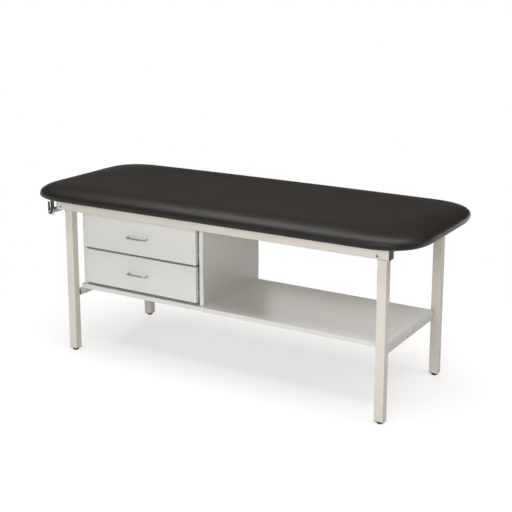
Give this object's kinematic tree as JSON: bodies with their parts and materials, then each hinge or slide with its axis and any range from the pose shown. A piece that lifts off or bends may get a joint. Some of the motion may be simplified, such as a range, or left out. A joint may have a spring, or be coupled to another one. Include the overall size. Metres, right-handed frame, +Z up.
{
  "type": "treatment table",
  "caption": "Padded treatment table on a square-tube steel frame with a full shelf, a head-end drawer cabinet on roller runners and a paper roll holder.",
  "frame": {"origin": "on the floor under the middle of the padded top", "axes": "+X to the foot end, away from the drawer cabinet; +Y to the back, away from the drawer fronts; +Z up"},
  "size_m": [1.829, 0.736, 0.7503],
  "materials": {
    "frame_paint": "satin powder coat",
    "black_plastic": "matt moulded",
    "zinc_steel": "zinc plated",
    "grey_laminate": "fine textured laminate on board",
    "satin_nickel": "satin nickel",
    "runner_enamel": "white enamel",
    "white_nylon": "moulded nylon",
    "drawer_board": "melamine faced board",
    "plywood": "raw plywood",
    "black_vinyl": "soft grained upholstery vinyl over foam",
    "hook_enamel": "gloss dark enamel",
    "pale_plastic": "satin moulded"
  },
  "bodies": {
    "frame": {"back_left_leg": "frame_paint", "back_paper_hook": "hook_enamel", "back_rail": "frame_paint", "back_right_leg": "frame_paint", "cabinet_back_panel": "grey_laminate", "cabinet_left_panel": "grey_laminate", "cabinet_right_panel": "grey_laminate", "cabinet_screws": "zinc_steel", "cabinet_top_panel": "grey_laminate", "centre_stretcher": "frame_paint", "cushion": "black_vinyl", "foot_cross_rail": "frame_paint", "foot_top_member": "frame_paint", "front_left_leg": "frame_paint", "front_paper_hook": "hook_enamel", "front_rail": "frame_paint", "front_right_leg": "frame_paint", "head_cross_rail": "frame_paint", "head_top_member": "frame_paint", "hook_screws": "zinc_steel", "leg_inserts": "black_plastic", "lower_cabinet_runners": "runner_enamel", "member_bolts": "zinc_steel", "rail_end_caps": "black_plastic", "shelf": "grey_laminate", "shelf_screws": "zinc_steel", "stretcher_bolts": "zinc_steel", "top_board": "plywood", "top_screws": "zinc_steel", "upper_cabinet_runners": "runner_enamel"},
    "upper_drawer": {"upper_drawer_bottom": "drawer_board", "upper_drawer_box_back": "drawer_board", "upper_drawer_box_front": "drawer_board", "upper_drawer_front": "grey_laminate", "upper_drawer_left_side": "drawer_board", "upper_drawer_pull": "satin_nickel", "upper_drawer_right_side": "drawer_board", "upper_drawer_runners": "runner_enamel", "upper_pull_screws": "zinc_steel"},
    "lower_drawer": {"lower_drawer_bottom": "drawer_board", "lower_drawer_box_back": "drawer_board", "lower_drawer_box_front": "drawer_board", "lower_drawer_front": "grey_laminate", "lower_drawer_left_side": "drawer_board", "lower_drawer_pull": "satin_nickel", "lower_drawer_right_side": "drawer_board", "lower_drawer_runners": "runner_enamel", "lower_pull_screws": "zinc_steel"},
    "back_left_foot": {"back_left_glide": "black_plastic"},
    "back_right_foot": {"back_right_glide": "black_plastic"},
    "front_left_foot": {"front_left_glide": "black_plastic"},
    "front_right_foot": {"front_right_glide": "black_plastic"},
    "lower_front_rollers": {"lower_cabinet_rollers": "white_nylon"},
    "lower_back_rollers": {"lower_drawer_rollers": "white_nylon"},
    "paper_roll_rod": {"paper_rod": "pale_plastic"},
    "upper_front_rollers": {"upper_cabinet_rollers": "white_nylon"},
    "upper_back_rollers": {"upper_drawer_rollers": "white_nylon"}
  },
  "joints": [
    {"name": "upper_drawer_slide", "type": "slide", "parent": "frame", "child": "upper_drawer", "axis": [0, -1, 0], "range_m": [0, 0.3]},
    {"name": "upper_front_roller_spin", "type": "hinge", "parent": "frame", "child": "upper_front_rollers", "pos_m": [-0.396, -0.1965, 0.5032], "axis": [1, 0, 0], "continuous": true},
    {"name": "upper_back_roller_spin", "type": "hinge", "parent": "upper_drawer", "child": "upper_back_rollers", "pos_m": [-0.396, 0.1675, 0.5032], "axis": [1, 0, 0], "continuous": true},
    {"name": "lower_drawer_slide", "type": "slide", "parent": "frame", "child": "lower_drawer", "axis": [0, -1, 0], "range_m": [0, 0.3]},
    {"name": "lower_front_roller_spin", "type": "hinge", "parent": "frame", "child": "lower_front_rollers", "pos_m": [-0.396, -0.1965, 0.3412], "axis": [1, 0, 0], "continuous": true},
    {"name": "lower_back_roller_spin", "type": "hinge", "parent": "lower_drawer", "child": "lower_back_rollers", "pos_m": [-0.396, 0.1675, 0.3412], "axis": [1, 0, 0], "continuous": true},
    {"name": "front_left_foot_level", "type": "slide", "parent": "frame", "child": "front_left_foot", "axis": [0, 0, -1], "range_m": [0, 0.012]},
    {"name": "front_right_foot_level", "type": "slide", "parent": "frame", "child": "front_right_foot", "axis": [0, 0, -1], "range_m": [0, 0.012]},
    {"name": "back_left_foot_level", "type": "slide", "parent": "frame", "child": "back_left_foot", "axis": [0, 0, -1], "range_m": [0, 0.012]},
    {"name": "back_right_foot_level", "type": "slide", "parent": "frame", "child": "back_right_foot", "axis": [0, 0, -1], "range_m": [0, 0.012]},
    {"name": "paper_rod_spin", "type": "hinge", "parent": "frame", "child": "paper_roll_rod", "pos_m": [-0.8445, 0, 0.6243], "axis": [0, 1, 0], "continuous": true}
  ],
  "couplings": [
    {"joint": "upper_front_roller_spin", "follows": "upper_drawer_slide", "rad_per_m": 125},
    {"joint": "upper_back_roller_spin", "follows": "upper_drawer_slide", "rad_per_m": 125},
    {"joint": "lower_front_roller_spin", "follows": "lower_drawer_slide", "rad_per_m": 125},
    {"joint": "lower_back_roller_spin", "follows": "lower_drawer_slide", "rad_per_m": 125}
  ]
}
